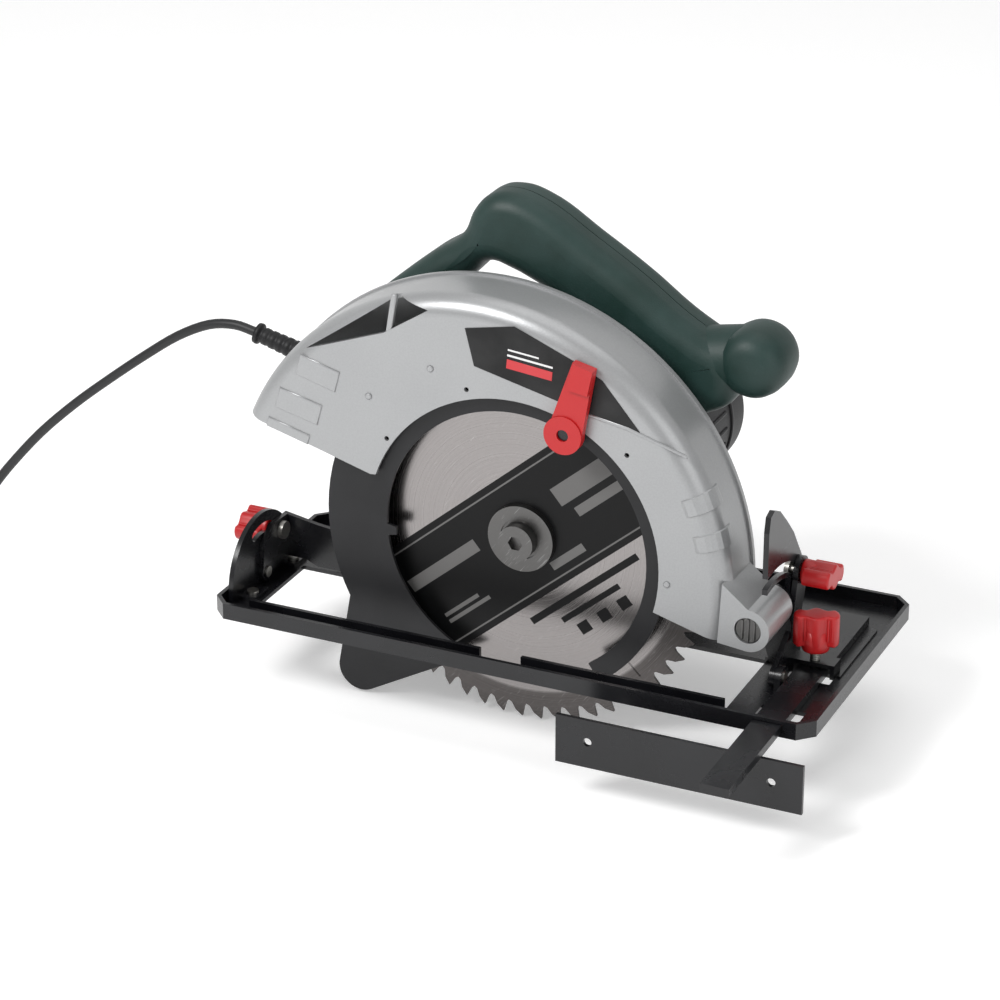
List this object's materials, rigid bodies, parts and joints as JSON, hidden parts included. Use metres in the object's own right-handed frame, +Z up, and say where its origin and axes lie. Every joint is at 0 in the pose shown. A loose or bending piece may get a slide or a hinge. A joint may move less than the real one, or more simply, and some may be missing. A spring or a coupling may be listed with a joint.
{
  "type": "circular saw",
  "caption": "Corded hand-held circular saw with cast upper guard, swinging lower guard, tilting base plate, depth hinge, D-handle and sliding parallel fence.",
  "frame": {"origin": "middle of the underside of the sole", "axes": "+X forwards along the cut, +Y towards the motor side, +Z up out of the sole"},
  "size_m": [0.8545, 0.35, 0.3085],
  "materials": {
    "steel_black": "black satin paint",
    "steel_zinc": "zinc plated",
    "cast_guard": "silver painted casting",
    "label": "printed foil",
    "blade_steel": "ground and lacquered",
    "guard_black": "black satin",
    "red_plastic": "moulded",
    "green_grip": "soft-touch",
    "black_plastic": "moulded",
    "cord_black": "satin",
    "laminations": "lacquered laminations",
    "copper": "copper",
    "plug_metal": "nickel plated brass"
  },
  "bodies": {
    "base": {"base_plate": "steel_black", "front_bevel_quadrant": "steel_black", "rear_bevel_quadrant": "steel_black", "quadrant_rivets": "steel_zinc", "bevel_hinge_pins": "steel_zinc", "fence_clamp_bridge": "steel_black"},
    "tilt_frame": {"front_tilt_bracket": "steel_black", "rear_tilt_bracket": "steel_black", "depth_quadrant": "steel_black", "bevel_bolts": "steel_zinc"},
    "front_bevel_knob": {"front_bevel_knob": "red_plastic"},
    "rear_bevel_knob": {"rear_bevel_knob": "red_plastic"},
    "saw_unit": {"upper_guard": "cast_guard", "guard_label": "label", "depth_pivot_pin": "steel_zinc", "gear_case": "cast_guard", "motor_housing": "black_plastic", "motor_end_cap": "black_plastic", "field_stator": "laminations", "brush_caps": "black_plastic", "handle_shell_left": "green_grip", "handle_shell_right": "green_grip", "front_grip": "green_grip", "housing_screws": "steel_zinc", "strain_relief": "cord_black", "switch_body": "black_plastic", "depth_lock_bolt": "steel_zinc", "bearings": "steel_zinc", "cord_tube": "cord_black", "cord_coil": "cord_black", "cord_tail": "cord_black", "coil_tie": "black_plastic", "plug_body": "cord_black", "plug_pins": "plug_metal"},
    "depth_lock_lever": {"depth_lock_lever": "red_plastic"},
    "armature": {"armature_shaft": "steel_zinc", "armature_core": "laminations", "commutator": "copper", "cooling_fan": "black_plastic"},
    "blade_spindle": {"spindle": "steel_zinc", "spindle_gear": "steel_zinc", "inner_flange": "steel_zinc", "saw_blade": "blade_steel", "outer_flange": "steel_zinc", "arbor_bolt": "steel_zinc"},
    "lower_guard": {"lower_guard": "guard_black", "guard_lever": "red_plastic", "lever_screw": "steel_zinc"},
    "trigger": {"trigger": "red_plastic"},
    "lock_off_button": {"lock_off_button": "red_plastic"},
    "spindle_lock_button": {"spindle_lock_button": "black_plastic"},
    "fence": {"fence_arm": "steel_black", "fence_plate": "steel_black"},
    "fence_clamp_knob": {"fence_clamp_knob": "red_plastic"}
  },
  "joints": [
    {"name": "bevel_tilt", "type": "hinge", "parent": "base", "child": "tilt_frame", "pos_m": [-0.0085, -0.037, 0.009], "axis": [1, 0, 0], "range_deg": [0, 45]},
    {"name": "depth_swing", "type": "hinge", "parent": "tilt_frame", "child": "saw_unit", "pos_m": [0.1375, -0.037, 0.043], "axis": [0, 1, 0], "range_deg": [-11.5, 20]},
    {"name": "blade_spin", "type": "hinge", "parent": "saw_unit", "child": "blade_spindle", "pos_m": [-0.0085, -0.037, 0.066], "axis": [0, 1, 0], "continuous": true},
    {"name": "armature_spin", "type": "hinge", "parent": "saw_unit", "child": "armature", "pos_m": [0.0136, 0.063, 0.0881], "axis": [0, 1, 0], "continuous": true},
    {"name": "lower_guard_swing", "type": "hinge", "parent": "saw_unit", "child": "lower_guard", "pos_m": [-0.0085, -0.037, 0.066], "axis": [0, -1, 0], "range_deg": [-20, 85]},
    {"name": "trigger_squeeze", "type": "slide", "parent": "saw_unit", "child": "trigger", "axis": [0.5, 0, 0.866], "range_m": [0, 0.005], "stiffness_N_per_m": 600, "springref_m": -0.002},
    {"name": "lock_off_press", "type": "slide", "parent": "saw_unit", "child": "lock_off_button", "axis": [0, -1, 0], "range_m": [0, 0.004], "stiffness_N_per_m": 300, "springref_m": -0.002},
    {"name": "spindle_lock_press", "type": "slide", "parent": "saw_unit", "child": "spindle_lock_button", "axis": [-1, 0, 0], "range_m": [0, 0.003], "stiffness_N_per_m": 300, "springref_m": -0.002},
    {"name": "depth_lock_turn", "type": "hinge", "parent": "saw_unit", "child": "depth_lock_lever", "pos_m": [-0.09575, -0.002, 0.07164], "axis": [0, 1, 0], "range_deg": [-10, 50]},
    {"name": "front_knob_turn", "type": "hinge", "parent": "tilt_frame", "child": "front_bevel_knob", "pos_m": [0.1565, 0.00061, 0.05892], "axis": [1, 0, 0], "range_deg": [-60, 60]},
    {"name": "rear_knob_turn", "type": "hinge", "parent": "tilt_frame", "child": "rear_bevel_knob", "pos_m": [-0.1885, -0.01825, 0.02911], "axis": [1, 0, 0], "range_deg": [-60, 60]},
    {"name": "fence_slide", "type": "slide", "parent": "base", "child": "fence", "axis": [0, 1, 0], "range_m": [-0.05, 0.02]},
    {"name": "fence_knob_turn", "type": "hinge", "parent": "base", "child": "fence_clamp_knob", "pos_m": [0.1635, -0.0115, 0.016], "axis": [0, 0, 1], "range_deg": [-90, 90]}
  ],
  "couplings": [
    {"joint": "armature_spin", "follows": "blade_spin", "ratio": -4.5556}
  ]
}
